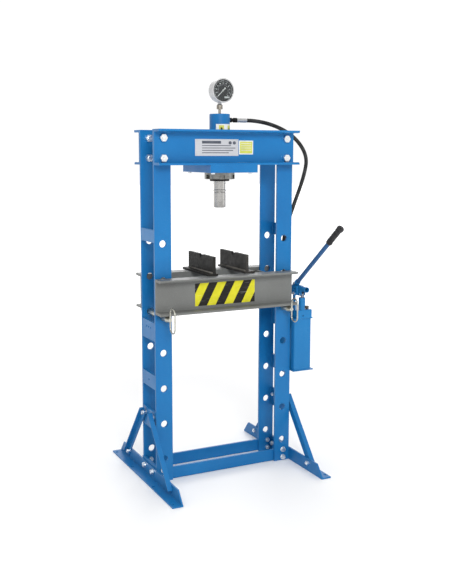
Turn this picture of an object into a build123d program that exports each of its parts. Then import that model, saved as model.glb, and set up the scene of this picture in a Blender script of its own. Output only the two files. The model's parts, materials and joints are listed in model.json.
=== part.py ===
from build123d import *
import os
from math import atan2, cos, degrees, hypot, radians, sin, tan

# Hydraulic shop press. Millimetres, +Z up, +X to the pump side, +Y to the rear.
# The origin is on the floor, in the middle between the two uprights.

os.makedirs("parts", exist_ok=True)

# Radial gaps: parts that run on each other, and parts that only stand close
RUNNING = 0.05
LOOSE = 0.3

# Fasteners: size, width across flats, length past the grip, washer radius; then their clearance holes
M18 = (18.0, 27.0, 22.0, 13.0)
M12 = (12.0, 18.0, 14.0, 12.0)
M10 = (10.0, 16.0, 12.0, 10.0)
M18_HOLE_R = 9.6
M12_HOLE_R = 6.5
M10_HOLE_R = 5.5
M8_HOLE_R = 4.4

# Uprights: four flat bars, joined in pairs by battens on the outer side
FRAME_HALF = 315.0
BAR_WIDTH = 72.0
BAR_IN = 68.0
BAR_OUT = 78.0
BAR_TOP = 1443.0
PIN_X = 279.0
PIN_HOLE_R = 14.5
PIN_HOLE_Z = [97.0 + 149.0 * i for i in range(7)]
BATTEN_T = 10.0
BATTENS = [(2.0, 66.0), (215.0, 295.0), (391.0, 451.0), (593.0, 670.0), (995.0, 1047.0)]

# Head: two channels back to back against the uprights
HEAD_Z = 1303.0
HEAD_H = 140.0
CHANNEL_FLANGE = 60.0
CHANNEL_WEB = 7.0
CHANNEL_T = 10.0
ROOT_FILLET = 3.0
TOE_FILLET = 8.0
NEAR = 0.01
HEAD_BOLT_X = 278.0
HEAD_BOLT_Z = (1330.0, 1409.0)
NAMEPLATE_X = (-140.0, 54.0)
NAMEPLATE_Z = (1339.0, 1406.0)
NAMEPLATE_T = 0.8
RIVET_IN = 5.0
RIVET_R = 2.5
RIVET_H = 1.2

# Bed: two channels resting on the pins
BED_Z = 707.3
BED_TOP = 850.5
BED_BACK = 79.5
BED_FLANGE = 59.5
SPACER_X = (222.0, 232.0)
SPACER_Z = (720.0, 838.0)

# Pins and their wire handles
PIN_R = 14.0
PIN_Z = 693.0
PIN_END = 149.0
RING_WIRE_R = 3.0
RING_W = 48.0
RING_H = 99.0
PIN_NOSE = 22.0
PIN_NOSE_R = 8.0
PIN_TAIL = 4.0

# Floor level: cross bars, angle feet, braces
CROSS_Z = (2.0, 52.0)
CROSS_TAB_Z = 64.0
CROSS_T = 10.0
CROSS_BOLT_X = 285.0
CROSS_BOLT_Z = (15.0, 50.0)
FOOT_HALF = 352.0
FOOT_T = 6.0
FOOT_H = 55.0
FOOT_W = 45.0
FOOT_CORNER = 42.0
ANCHOR_X = 349.0
ANCHOR_Y = (124.0, 324.0)
ANCHOR_R = 6.5
FOOT_BOLT = (45.0, 37.0)
BRACE_LOW = (240.0, 36.0)
BRACE_TOP = (46.0, 269.0)
BRACE_W = 30.0
BRACE_LIP = 20.0
BRACE_T = 4.0
SHIM_R = 10.0
SHIMS = ((0.2, 3.0), (3.0, 5.8))

# Cylinder and ram
PRESS_X = 10.0
PLATE_HALF = 106.0
PLATE_Y = 138.0
PLATE_Z = (1272.0, 1303.0)
PLATE_SCREW = (85.0, 115.0)
BARREL_R = 42.5
WIPER_R = 41.0
BORE_R = 33.0
BARREL_Z = (1243.0, 1510.0)
BORE_TOP = 1494.0
PORT_Z = 1486.0
PORT_R = 5.0
PORT_BOSS_R = 10.0
PORT_FACE = PRESS_X + BARREL_R + 1.0
GAUGE_PORT_R = 4.0
COLLAR_R = 52.0
COLLAR_H = 12.0
WIPER_H = 8.0
BUSH_H = 40.0
PLATE_SCREW_R = 5.0
PLATE_SCREW_HEAD = (8.0, 6.0)
PLATE_SCREW_KEY = (6.0, 3.0)
RAM_R = 25.0
RING_NUT_R = 63.0
RING_NUT_SLOTS = 6
RING_NUT_TURN = 14.0
RING_NUT_SLOT = (26.0, 22.0, 19.0)
PISTON_Z = (1446.0, 1474.0)
HOLLOW_R = 15.0
HOLLOW_Z = 1195.0
TIP_Z = 1125.0
TIP_FLOOR = 1140.0
TIP_TOP = 1188.0
TIP_R = 26.0
SPIGOT_R = 18.0
RIDGE_Z = (1191.0, 1200.0)
PISTON_BORE_R = 20.0
COIL_PITCH = 10.0
COIL_R = 11.0
COIL_WIRE_R = 1.6

# Gauge
GAUGE_Y = (-31.0, 9.0)
GAUGE_Z = 1603.5
GAUGE_R = 47.5
GAUGE_WALL = 2.0
GAUGE_BACK_Y = -1.0
BEZEL_Y = (-37.0, -31.0)
BEZEL_R = 49.0
WINDOW_R = 44.5
GLASS_Y = (-35.5, -34.2)
DIAL_Y = (-31.8, -31.0)
NEEDLE_Y = (-33.4, -32.6)
NEEDLE_REACH = 41.0
STEM_Z = (1510.0, 1530.0)
STEM_R = 5.5
ADAPTER_Z = (1529.0, 1549.0)
ADAPTER_R = 12.5

# Pump
PUMP_X = 362.0
TANK_X = (320.0, 406.0)
TANK_Y = (-106.0, 60.0)
TANK_Z = (410.0, 636.0)
TANK_WALL = 3.0
TANK_FILLET = 8.0
TRAY_X = 416.0
TRAY_Y = (-110.0, 64.0)
TRAY_Z = 406.0
BRACKET_T = 4.0
BRACKET_Y = 60.0
BRACKET_H = 45.0
TOP_PLATE_X = 411.0
TOP_PLATE_Y = (-108.0, 66.0)
HEAD_X = (330.0, 408.0)
HEAD_Y = (-110.0, 40.0)
PUMP_HEAD_Z = (640.0, 676.0)
PLUNGER_Y = -96.0
PLUNGER_R = 6.5
PUMP_BARREL_R = 12.5
PUMP_BARREL_TOP = 713.0
CAP_R = 14.5
CAP_Z = (694.0, 730.0)
CAP_LID = 3.0
PIVOT_Y = -66.0
PIVOT_Z = 745.0
PIVOT_R = 5.0
POST_X = (19.0, 24.0)
POST_R = 8.0
LINK_R = 3.0
SLOT_R = 3.25
EYE_R = 7.0
SOCKET_R = 12.0
SOCKET_BORE = 9.5
SOCKET_Y = (-135.0, -60.0)
SOCKET_FLOOR = -85.0
SOCKET_Z = 768.0
CHEEK_X = (11.0, 17.0)
CHEEK_Y = (-78.0, -36.0)
CHEEK_Z = (738.0, 778.0)
CHEEK_HOLE = (-57.0, 762.0)
CHEEK_HOLE_R = 4.5
ARM_X = (7.0, 12.0)
LEVER_SOCKET_R = 12.5
LEVER_SOCKET = (-10.0, 26.0)
CLAMP_AT = 14.0
CLAMP_HOLE_R = 3.3
LEVER_ROOT = (-40.0, 779.0)
LEVER_TIP = (-382.0, 1053.0)
LEVER_R = 9.5
GRIP_LENGTH = 104.0
GRIP_R = 12.0
GRIP_END_R = 15.0
GRIP_END = 9.0
GRIP_WAVES = 5
GRIP_WAVE_R = 11.0
GRIP_WAVE_OFF = 4.5
GRIP_WAVE_AT = 12.0
GRIP_WAVE_PITCH = 17.5
GRIP_HOLE_R = 3.5
KNOB = (390.0, -91.0)
KNOB_R = 9.0
FILLER = (375.0, 53.0)
PUMP_SCREWS = ((-25.0, 644.0), (0.0, 644.0), (21.0, 644.0), (0.0, 421.0))
HEAD_PLUG = (360.0, 651.0)

# V-blocks
VEE_BASE_L = 262.0
VEE_BASE_W = 46.0
VEE_BASE_T = 9.0
VEE_PLATE_L = 250.0
VEE_PLATE_T = 12.0
VEE_LIP = 8.0
VEE_TOP = 929.0
VEE_NOTCH_W = 34.0
VEE_NOTCH_D = 18.0
VEE_PLACES = (("left", -1.0, -52.0, 32.0), ("right", 1.0, 93.0, 41.0))

# Hose
HOSE_R = 8.3
HOSE_END = (345.0, 22.0, 712.0)
HOSE_ROUTE = [
    (134.0, 0.0, PORT_Z),
    (215.0, 0.0, PORT_Z),
    (360.0, 3.0, 1434.0),
    (443.0, 8.0, 1343.0),
    (430.0, 13.0, 1250.0),
    (379.0, 17.0, 1120.0),
    (332.0, 20.0, 990.0),
    (334.0, 22.0, 862.0),
    (345.0, 22.0, 768.0),
    HOSE_END,
]
BEND_SHARE = 0.45
FITTING_FLATS = 19.0
FERRULE_X = ((88.0, 99.0), (104.0, 134.0))
FERRULE_Z = 690.0
FERRULE_NECK_R = 8.2
FITTING_R = 7.2
FERRULE_R = 9.6


def block(x, y, z, mode=Mode.ADD):
    """A box given by its low and high limits."""
    with Locations(((x[0] + x[1]) / 2, (y[0] + y[1]) / 2, (z[0] + z[1]) / 2)):
        Box(abs(x[1] - x[0]), abs(y[1] - y[0]), abs(z[1] - z[0]), mode=mode)


def rod_x(x, y, z, radius, mode=Mode.ADD):
    with Locations(Location(((x[0] + x[1]) / 2, y, z), (0, 90, 0))):
        Cylinder(radius, abs(x[1] - x[0]), mode=mode)


def rod_y(x, y, z, radius, mode=Mode.ADD):
    with Locations(Location((x, (y[0] + y[1]) / 2, z), (90, 0, 0))):
        Cylinder(radius, abs(y[1] - y[0]), mode=mode)


def rod_z(x, y, z, radius, mode=Mode.ADD):
    with Locations((x, y, (z[0] + z[1]) / 2)):
        Cylinder(radius, z[1] - z[0], mode=mode)


def facing(origin, out):
    """Plane at origin that looks along out, with its x axis level."""
    level = (1, 0, 0) if abs(out[0]) < 0.9 else (0, 1, 0)
    return Plane(origin=origin, x_dir=level, z_dir=out)


def hexagon(origin, out, flats, depth, mode=Mode.ADD):
    """A hexagonal prism from origin along out."""
    with BuildSketch(facing(origin, out)) as outline:
        RegularPolygon(flats / 2, 6, major_radius=False)
    extrude(outline.sketch, amount=depth, mode=mode)


def shank(origin, out, radius, depth, mode=Mode.ADD):
    with BuildSketch(facing(origin, out)) as outline:
        Circle(radius)
    extrude(outline.sketch, amount=depth, mode=mode)


def bolt(origin, out, fastener, grip):
    """Hex bolt with a washer under its head and a nut on the far side of the grip."""
    size, flats, stick_out, washer_r = fastener
    ox, oy, oz = origin
    dx, dy, dz = out
    washer = 0.15 * size
    back = (-dx, -dy, -dz)
    head_at = (ox + dx * washer, oy + dy * washer, oz + dz * washer)
    far = (ox - dx * grip, oy - dy * grip, oz - dz * grip)
    shank(origin, out, washer_r, washer)
    hexagon(head_at, out, flats, 0.65 * size)
    shank(origin, back, size / 2, grip + stick_out)
    hexagon(far, back, flats, 0.8 * size)


def save(piece, name):
    piece.part.label = name
    export_step(piece.part, f"parts/{name}.step")


def sides():
    return (("left", -1.0), ("right", 1.0))


# ---- uprights -------------------------------------------------------------

for side, sx in sides():
    for face, sy in (("front", -1.0), ("rear", 1.0)):
        with BuildPart() as upright:
            block((sx * (FRAME_HALF - BAR_WIDTH), sx * FRAME_HALF), (sy * BAR_IN, sy * BAR_OUT), (0, BAR_TOP))
            for z in PIN_HOLE_Z:
                rod_y(sx * PIN_X, (sy * BAR_IN, sy * BAR_OUT), z, PIN_HOLE_R, Mode.SUBTRACT)
            for z in HEAD_BOLT_Z:
                rod_y(sx * HEAD_BOLT_X, (sy * BAR_IN, sy * BAR_OUT), z, M18_HOLE_R, Mode.SUBTRACT)
            for z in CROSS_BOLT_Z:
                rod_y(sx * CROSS_BOLT_X, (sy * BAR_IN, sy * BAR_OUT), z, M12_HOLE_R, Mode.SUBTRACT)
        save(upright, f"{side}_{face}_upright")

    with BuildPart() as battens:
        outer = (sx * (FRAME_HALF - BATTEN_T), sx * FRAME_HALF)
        for low, high in BATTENS:
            block(outer, (-BAR_IN, BAR_IN), (low, high))
        for y in (-FOOT_BOLT[0], FOOT_BOLT[0]):
            rod_x(outer, y, FOOT_BOLT[1], M12_HOLE_R, Mode.SUBTRACT)
        for y in (-BRACE_TOP[0], BRACE_TOP[0]):
            rod_x(outer, y, BRACE_TOP[1], M10_HOLE_R, Mode.SUBTRACT)
        for y, z in PUMP_SCREWS:
            rod_x(outer, y, z, M8_HOLE_R, Mode.SUBTRACT)
    save(battens, f"{side}_battens")

# ---- head -----------------------------------------------------------------


def channel(sy, back, flange, low, high, half, web=CHANNEL_WEB, thick=CHANNEL_T):
    """A rolled channel lying along X with its web back at |Y| = back and its flanges outward."""
    with BuildSketch(Plane.YZ.offset(-half)) as section:
        with BuildLine():
            Polyline(
                (sy * back, low),
                (sy * (back + flange), low),
                (sy * (back + flange), low + thick),
                (sy * (back + web), low + thick),
                (sy * (back + web), high - thick),
                (sy * (back + flange), high - thick),
                (sy * (back + flange), high),
                (sy * back, high),
                close=True,
            )
        make_face()
        roots = [v for v in section.vertices() if abs(abs(v.X) - back - web) < NEAR]
        fillet(roots, ROOT_FILLET)
        toes = [
            v
            for v in section.vertices()
            if abs(abs(v.X) - back - flange) < NEAR and low + 1 < v.Y < high - 1
        ]
        fillet(toes, TOE_FILLET)
    extrude(section.sketch, amount=2 * half)


for face, sy in (("front", -1.0), ("rear", 1.0)):
    with BuildPart() as head_channel:
        channel(sy, BAR_OUT, CHANNEL_FLANGE, HEAD_Z, HEAD_Z + HEAD_H, FRAME_HALF)
        for x in (-HEAD_BOLT_X, HEAD_BOLT_X):
            for z in HEAD_BOLT_Z:
                rod_y(x, (sy * BAR_OUT, sy * (BAR_OUT + CHANNEL_WEB)), z, M18_HOLE_R, Mode.SUBTRACT)
    save(head_channel, f"head_{face}_channel")

with BuildPart() as head_bolts:
    web_front = BAR_OUT + CHANNEL_WEB
    for x in (-HEAD_BOLT_X, HEAD_BOLT_X):
        for z in HEAD_BOLT_Z:
            for sy in (-1.0, 1.0):
                bolt((x, sy * web_front, z), (0, sy, 0), M18, web_front - BAR_IN)
save(head_bolts, "head_bolts")

with BuildPart() as nameplate:
    plate_y = (-web_front - NAMEPLATE_T, -web_front)
    block(NAMEPLATE_X, plate_y, NAMEPLATE_Z)
    for x in (NAMEPLATE_X[0] + RIVET_IN, NAMEPLATE_X[1] - RIVET_IN):
        for z in (NAMEPLATE_Z[0] + RIVET_IN, NAMEPLATE_Z[1] - RIVET_IN):
            rod_y(x, (plate_y[0] - RIVET_H, plate_y[0]), z, RIVET_R)
save(nameplate, "nameplate")

# ---- floor level ----------------------------------------------------------

with BuildPart() as cross_bars:
    inner_half = FRAME_HALF - BATTEN_T - 1.0
    for half, y_span in ((inner_half, (-BAR_IN, -BAR_IN + CROSS_T)), (FRAME_HALF, (BAR_OUT, BAR_OUT + CROSS_T))):
        block((-half, half), y_span, CROSS_Z)
        for sx in (-1.0, 1.0):
            block((sx * (FRAME_HALF - BAR_WIDTH + 2), sx * half), y_span, (CROSS_Z[0], CROSS_TAB_Z))
            for z in CROSS_BOLT_Z:
                rod_y(sx * CROSS_BOLT_X, y_span, z, M12_HOLE_R, Mode.SUBTRACT)
save(cross_bars, "cross_bars")

for side, sx in sides():
    leg = (sx * FRAME_HALF, sx * (FRAME_HALF + FOOT_T))
    with BuildPart() as foot:
        with BuildSketch(Plane.YZ.offset(leg[0])):
            with BuildLine():
                Polyline(
                    (-FOOT_HALF, 0),
                    (FOOT_HALF, 0),
                    (FOOT_HALF, FOOT_T),
                    (FOOT_HALF - FOOT_CORNER, FOOT_H),
                    (-FOOT_HALF + FOOT_CORNER, FOOT_H),
                    (-FOOT_HALF, FOOT_T),
                    close=True,
                )
            make_face()
        extrude(amount=sx * FOOT_T)
        block((leg[0], sx * (FRAME_HALF + FOOT_W)), (-FOOT_HALF, FOOT_HALF), (0, FOOT_T))
        for sy in (-1.0, 1.0):
            for y in ANCHOR_Y:
                rod_z(sx * ANCHOR_X, sy * y, (0, FOOT_T), ANCHOR_R, Mode.SUBTRACT)
            rod_x(leg, sy * FOOT_BOLT[0], FOOT_BOLT[1], M12_HOLE_R, Mode.SUBTRACT)
            rod_x(leg, sy * BRACE_LOW[0], BRACE_LOW[1], M10_HOLE_R, Mode.SUBTRACT)
    save(foot, f"{side}_foot")

with BuildPart() as floor_bolts:
    for sx in (-1.0, 1.0):
        for z in CROSS_BOLT_Z:
            bolt((sx * CROSS_BOLT_X, -BAR_OUT, z), (0, -1, 0), M12, 2 * CROSS_T)
            bolt((sx * CROSS_BOLT_X, BAR_OUT + CROSS_T, z), (0, 1, 0), M12, 2 * CROSS_T)
        for sy in (-1.0, 1.0):
            at = (sx * (FRAME_HALF + FOOT_T), sy * FOOT_BOLT[0], FOOT_BOLT[1])
            bolt(at, (sx, 0, 0), M12, FOOT_T + BATTEN_T)
save(floor_bolts, "floor_bolts")

brace_run = BRACE_LOW[0] - BRACE_TOP[0]
brace_rise = BRACE_TOP[1] - BRACE_LOW[1]
brace_length = hypot(brace_run, brace_rise)
brace_angle = atan2(brace_rise, brace_run)
brace_x = FRAME_HALF + FOOT_T
with BuildPart() as braces:
    for sx in (-1.0, 1.0):
        for sy in (-1.0, 1.0):
            along = Vector(0, -sy * cos(brace_angle), sin(brace_angle))
            start = Vector(sx * brace_x, sy * BRACE_LOW[0], BRACE_LOW[1])
            outward = Plane(origin=start, x_dir=along, z_dir=(sx, 0, 0))
            upper = 1.0 if (outward.y_dir.Y * sy) > 0 else -1.0
            with BuildSketch(outward):
                with Locations((brace_length / 2, 0)):
                    Rectangle(brace_length + BRACE_W, BRACE_W)
            extrude(amount=BRACE_T)
            with BuildSketch(outward):
                with Locations((brace_length / 2, upper * (BRACE_W - BRACE_T) / 2)):
                    Rectangle(brace_length + BRACE_W, BRACE_T)
            extrude(amount=BRACE_LIP)
            for y, z in (BRACE_LOW, BRACE_TOP):
                rod_x((sx * brace_x, sx * (brace_x + BRACE_T)), sy * y, z, M10_HOLE_R, Mode.SUBTRACT)
save(braces, "braces")

with BuildPart() as brace_bolts:
    for sx in (-1.0, 1.0):
        for sy in (-1.0, 1.0):
            out = (sx, 0, 0)
            for low, high in SHIMS:
                rod_x((sx * (FRAME_HALF + low), sx * (FRAME_HALF + high)), sy * BRACE_TOP[0], BRACE_TOP[1], SHIM_R)
            x = sx * (brace_x + BRACE_T)
            bolt((x, sy * BRACE_LOW[0], BRACE_LOW[1]), out, M10, FOOT_T + BRACE_T)
            bolt((x, sy * BRACE_TOP[0], BRACE_TOP[1]), out, M10, FOOT_T + BRACE_T + BATTEN_T)
save(brace_bolts, "brace_bolts")

# ---- bed ------------------------------------------------------------------

for face, sy in (("front", -1.0), ("rear", 1.0)):
    with BuildPart() as bed_channel:
        channel(sy, BED_BACK, BED_FLANGE, BED_Z, BED_TOP, FRAME_HALF)
    save(bed_channel, f"bed_{face}_channel")

with BuildPart() as bed_spacers:
    for sx in (-1.0, 1.0):
        block((sx * SPACER_X[0], sx * SPACER_X[1]), (-BED_BACK, BED_BACK), SPACER_Z)
save(bed_spacers, "bed_spacers")

# ---- pins with wire handles -----------------------------------------------


def wire_ring(x):
    """An oval ring of wire in the Y-Z plane whose rear side lies on the end of the pin."""
    centre = Plane(origin=(x, -PIN_END - RING_W / 2, PIN_Z), x_dir=(0, 1, 0), z_dir=(1, 0, 0))
    with BuildSketch(centre) as face:
        SlotOverall(RING_H, RING_W, rotation=90)
    outline = face.sketch.faces()[0].outer_wire()
    start = outline.edges()[0]
    with BuildSketch(Plane(origin=start @ 0, z_dir=start % 0)) as wire:
        Circle(RING_WIRE_R)
    return Solid.sweep(wire.sketch.faces()[0], outline)


for side, sx in sides():
    ring = wire_ring(sx * PIN_X)
    with BuildPart() as pin:
        rod_y(sx * PIN_X, (-PIN_END + PIN_NOSE, PIN_END - PIN_TAIL), PIN_Z, PIN_R)
        chamfer(pin.faces().sort_by(Axis.Y)[-1].edges(), PIN_TAIL / 2)
        with Locations(Location((sx * PIN_X, -PIN_END + PIN_NOSE / 2, PIN_Z), (90, 0, 0))):
            Cone(PIN_R, PIN_NOSE_R, PIN_NOSE)
        add(ring, mode=Mode.SUBTRACT)
    save(pin, f"{side}_pin")
    with BuildPart() as pin_handle:
        add(ring)
    save(pin_handle, f"{side}_pin_handle")

# ---- V-blocks -------------------------------------------------------------

for side, out, inner_x, y_mid in VEE_PLACES:
    base_x = (inner_x - out * VEE_LIP, inner_x + out * (VEE_BASE_W - VEE_LIP))
    half = VEE_PLATE_L / 2
    with BuildPart() as v_block:
        block(base_x, (y_mid - VEE_BASE_L / 2, y_mid + VEE_BASE_L / 2), (BED_TOP, BED_TOP + VEE_BASE_T))
        with BuildSketch(Plane.YZ.offset(inner_x)):
            with BuildLine():
                Polyline(
                    (y_mid - half, BED_TOP + VEE_BASE_T),
                    (y_mid + half, BED_TOP + VEE_BASE_T),
                    (y_mid + half, VEE_TOP),
                    (y_mid + VEE_NOTCH_W / 2, VEE_TOP),
                    (y_mid, VEE_TOP - VEE_NOTCH_D),
                    (y_mid - VEE_NOTCH_W / 2, VEE_TOP),
                    (y_mid - half, VEE_TOP),
                    close=True,
                )
            make_face()
        extrude(amount=out * VEE_PLATE_T)
    save(v_block, f"{side}_v_block")

# ---- cylinder and ram -----------------------------------------------------

with BuildPart() as mounting_plate:
    block((PRESS_X - PLATE_HALF, PRESS_X + PLATE_HALF), (-PLATE_Y, PLATE_Y), PLATE_Z)
    rod_z(PRESS_X, 0, PLATE_Z, BARREL_R + LOOSE, Mode.SUBTRACT)
    for dx in (-PLATE_SCREW[0], PLATE_SCREW[0]):
        for y in (-PLATE_SCREW[1], PLATE_SCREW[1]):
            rod_z(PRESS_X + dx, y, PLATE_Z, M10_HOLE_R, Mode.SUBTRACT)
save(mounting_plate, "cylinder_mounting_plate")

with BuildPart() as plate_screws:
    for dx in (-PLATE_SCREW[0], PLATE_SCREW[0]):
        for y in (-PLATE_SCREW[1], PLATE_SCREW[1]):
            head_low = PLATE_Z[0] - PLATE_SCREW_HEAD[1]
            rod_z(PRESS_X + dx, y, (head_low, PLATE_Z[0]), PLATE_SCREW_HEAD[0])
            hexagon((PRESS_X + dx, y, head_low), (0, 0, 1), *PLATE_SCREW_KEY, Mode.SUBTRACT)
            rod_z(PRESS_X + dx, y, PLATE_Z, PLATE_SCREW_R)
save(plate_screws, "mounting_plate_screws")

with BuildPart() as barrel:
    rod_z(PRESS_X, 0, BARREL_Z, BARREL_R)
    chamfer(barrel.faces().sort_by(Axis.Z)[-1].edges(), 2.0)
    rod_z(PRESS_X, 0, (PLATE_Z[1], PLATE_Z[1] + COLLAR_H), COLLAR_R)
    rod_x((PRESS_X, PORT_FACE), 0, PORT_Z, PORT_BOSS_R)
    rod_z(PRESS_X, 0, (BARREL_Z[0], BORE_TOP), BORE_R, Mode.SUBTRACT)
    rod_x((PRESS_X, PORT_FACE), 0, PORT_Z, PORT_R, Mode.SUBTRACT)
    rod_z(PRESS_X, 0, (BORE_TOP, BARREL_Z[1]), GAUGE_PORT_R, Mode.SUBTRACT)
save(barrel, "cylinder_barrel")

with BuildPart() as ring_nut:
    top = PLATE_Z[0]
    rod_z(PRESS_X, 0, (BARREL_Z[0], top), RING_NUT_R)
    chamfer(ring_nut.edges().filter_by(GeomType.CIRCLE), 1.5)
    rod_z(PRESS_X, 0, (BARREL_Z[0], top), BARREL_R + LOOSE, Mode.SUBTRACT)
    for i in range(RING_NUT_SLOTS):
        angle = radians(360.0 / RING_NUT_SLOTS * i + RING_NUT_TURN)
        centre = (PRESS_X + RING_NUT_R * cos(angle), RING_NUT_R * sin(angle), BARREL_Z[0] + RING_NUT_SLOT[2] / 2)
        with Locations(Location(centre, (0, 0, degrees(angle)))):
            Box(*RING_NUT_SLOT, mode=Mode.SUBTRACT)
save(ring_nut, "cylinder_ring_nut")

with BuildPart() as wiper:
    wiper_z = (BARREL_Z[0] - WIPER_H, BARREL_Z[0])
    rod_z(PRESS_X, 0, wiper_z, WIPER_R)
    chamfer(wiper.faces().sort_by(Axis.Z)[0].edges(), 2.0)
    rod_z(PRESS_X, 0, wiper_z, RAM_R + LOOSE, Mode.SUBTRACT)
save(wiper, "rod_wiper")

with BuildPart() as guide_bush:
    bush_z = (BARREL_Z[0], BARREL_Z[0] + BUSH_H)
    rod_z(PRESS_X, 0, bush_z, BORE_R - LOOSE)
    rod_z(PRESS_X, 0, bush_z, RAM_R + RUNNING, Mode.SUBTRACT)
save(guide_bush, "rod_guide_bush")

with BuildPart() as ram_rod:
    rod_z(PRESS_X, 0, RIDGE_Z, RAM_R + 1.8)
    chamfer(ram_rod.edges().filter_by(GeomType.CIRCLE), 1.5)
    rod_z(PRESS_X, 0, (TIP_TOP, PISTON_Z[0]), RAM_R)
    rod_z(PRESS_X, 0, (TIP_FLOOR, TIP_TOP), SPIGOT_R)
    rod_z(PRESS_X, 0, PISTON_Z, PISTON_BORE_R)
    rod_z(PRESS_X, 0, (HOLLOW_Z, PISTON_Z[1]), HOLLOW_R, Mode.SUBTRACT)
save(ram_rod, "ram_rod")

with BuildPart() as piston:
    rod_z(PRESS_X, 0, PISTON_Z, BORE_R - RUNNING)
    rod_z(PRESS_X, 0, PISTON_Z, PISTON_BORE_R + LOOSE, Mode.SUBTRACT)
save(piston, "piston")

with BuildPart() as press_tip:
    rod_z(PRESS_X, 0, (TIP_Z, TIP_TOP), TIP_R)
    chamfer(press_tip.faces().sort_by(Axis.Z)[0].edges(), 2.0)
    chamfer(press_tip.faces().sort_by(Axis.Z)[-1].edges(), 1.5)
    rod_z(PRESS_X, 0, (TIP_FLOOR, TIP_TOP), SPIGOT_R + LOOSE, Mode.SUBTRACT)
save(press_tip, "press_tip")

with BuildPart() as return_spring:
    spring_low = HOLLOW_Z + 3.0
    spring_high = BORE_TOP - 3.0
    with BuildLine() as coil:
        Helix(pitch=COIL_PITCH, height=spring_high - spring_low, radius=COIL_R, center=(PRESS_X, 0, spring_low))
    with BuildSketch(Plane(origin=coil.line @ 0, z_dir=coil.line % 0)):
        Circle(COIL_WIRE_R)
    sweep(path=coil.line, is_frenet=True)
save(return_spring, "return_spring")

# ---- gauge ----------------------------------------------------------------

with BuildPart() as gauge_adapter:
    rod_z(PRESS_X, 0, STEM_Z, STEM_R)
    rod_z(PRESS_X, 0, ADAPTER_Z, ADAPTER_R)
    chamfer(gauge_adapter.edges().filter_by(GeomType.CIRCLE).sort_by(Axis.Z)[-1], 3.0)
save(gauge_adapter, "gauge_adapter")

with BuildPart() as gauge_case:
    rod_y(PRESS_X, GAUGE_Y, GAUGE_Z, GAUGE_R)
    chamfer(gauge_case.faces().sort_by(Axis.Y)[-1].edges(), 3.0)
    rod_y(PRESS_X, (GAUGE_Y[0], GAUGE_BACK_Y), GAUGE_Z, GAUGE_R - GAUGE_WALL, Mode.SUBTRACT)
    rod_z(PRESS_X, 0, (ADAPTER_Z[1], GAUGE_Z - GAUGE_R + 4.0), 8.0)
save(gauge_case, "gauge_case")

with BuildPart() as gauge_bezel:
    rod_y(PRESS_X, BEZEL_Y, GAUGE_Z, BEZEL_R)
    chamfer(gauge_bezel.faces().sort_by(Axis.Y)[0].edges(), 2.0)
    rod_y(PRESS_X, BEZEL_Y, GAUGE_Z, WINDOW_R, Mode.SUBTRACT)
save(gauge_bezel, "gauge_bezel")

with BuildPart() as gauge_glass:
    rod_y(PRESS_X, GLASS_Y, GAUGE_Z, WINDOW_R - LOOSE)
save(gauge_glass, "gauge_glass")

with BuildPart() as gauge_dial:
    rod_y(PRESS_X, DIAL_Y, GAUGE_Z, WINDOW_R - LOOSE)
    rod_y(PRESS_X, (DIAL_Y[1], GAUGE_BACK_Y), GAUGE_Z, 16.0)
    rod_y(PRESS_X, (NEEDLE_Y[0] + 0.3, DIAL_Y[0]), GAUGE_Z, 1.5)
save(gauge_dial, "gauge_dial")

with BuildPart() as gauge_needle:
    needle_face = Plane(origin=(PRESS_X, NEEDLE_Y[1], GAUGE_Z), x_dir=(-1, 0, -1), z_dir=(0, -1, 0))
    with BuildSketch(needle_face):
        with BuildLine():
            Polyline((NEEDLE_REACH, 0.4), (0, 1.5), (-9.0, 1.5), (-11.0, 3.4), (-15.0, 3.4), (-15.0, -3.4),
                     (-11.0, -3.4), (-9.0, -1.5), (0, -1.5), (NEEDLE_REACH, -0.4), close=True)
        make_face()
        Circle(3.4)
        Circle(1.5 + RUNNING, mode=Mode.SUBTRACT)
    extrude(amount=NEEDLE_Y[1] - NEEDLE_Y[0])
save(gauge_needle, "gauge_needle")

# ---- hose and its fittings ------------------------------------------------


def turn_radii(points):
    """Arc radius at each inner point: a share of the shorter run over the tangent of half the turn."""
    radii = []
    for before, here, after in zip(points, points[1:], points[2:]):
        run_in = Vector(*here) - Vector(*before)
        run_out = Vector(*after) - Vector(*here)
        half_turn = radians(run_in.get_angle(run_out)) / 2
        radii.append(BEND_SHARE * min(run_in.length, run_out.length) / tan(half_turn))
    return radii


hose_radii = turn_radii(HOSE_ROUTE)
with BuildPart() as hose:
    with BuildLine() as hose_path:
        FilletPolyline(*HOSE_ROUTE, radius=hose_radii)
    with BuildSketch(Plane(origin=hose_path.line @ 0, z_dir=hose_path.line % 0)):
        Circle(HOSE_R)
    sweep(path=hose_path.line)
save(hose, "hose")
hose_length = hose_path.wire().length
print("hose radii", [round(radius, 1) for radius in hose_radii])
print("hose length", round(hose_length, 1))

with BuildPart() as hose_fittings:
    rod_x((PORT_FACE, FERRULE_X[0][0]), 0, PORT_Z, FITTING_R)
    hexagon((PORT_FACE, 0, PORT_Z), (1, 0, 0), FITTING_FLATS, 10.0)
    hexagon((FERRULE_X[0][0], 0, PORT_Z), (-1, 0, 0), FITTING_FLATS, 14.0)
    rod_z(HOSE_END[0], HOSE_END[1], (PUMP_HEAD_Z[1], FERRULE_Z), FITTING_R)
    hexagon((HOSE_END[0], HOSE_END[1], PUMP_HEAD_Z[1]), (0, 0, 1), FITTING_FLATS, 11.0)
save(hose_fittings, "hose_fittings")

with BuildPart() as hose_ferrules:
    for span in FERRULE_X:
        rod_x(span, 0, PORT_Z, FERRULE_R)
    rod_x((FERRULE_X[0][1], FERRULE_X[1][0]), 0, PORT_Z, FERRULE_NECK_R)
    rod_z(HOSE_END[0], HOSE_END[1], (FERRULE_Z, HOSE_END[2]), FERRULE_R)
save(hose_ferrules, "hose_ferrules")

# ---- pump -----------------------------------------------------------------

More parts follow.
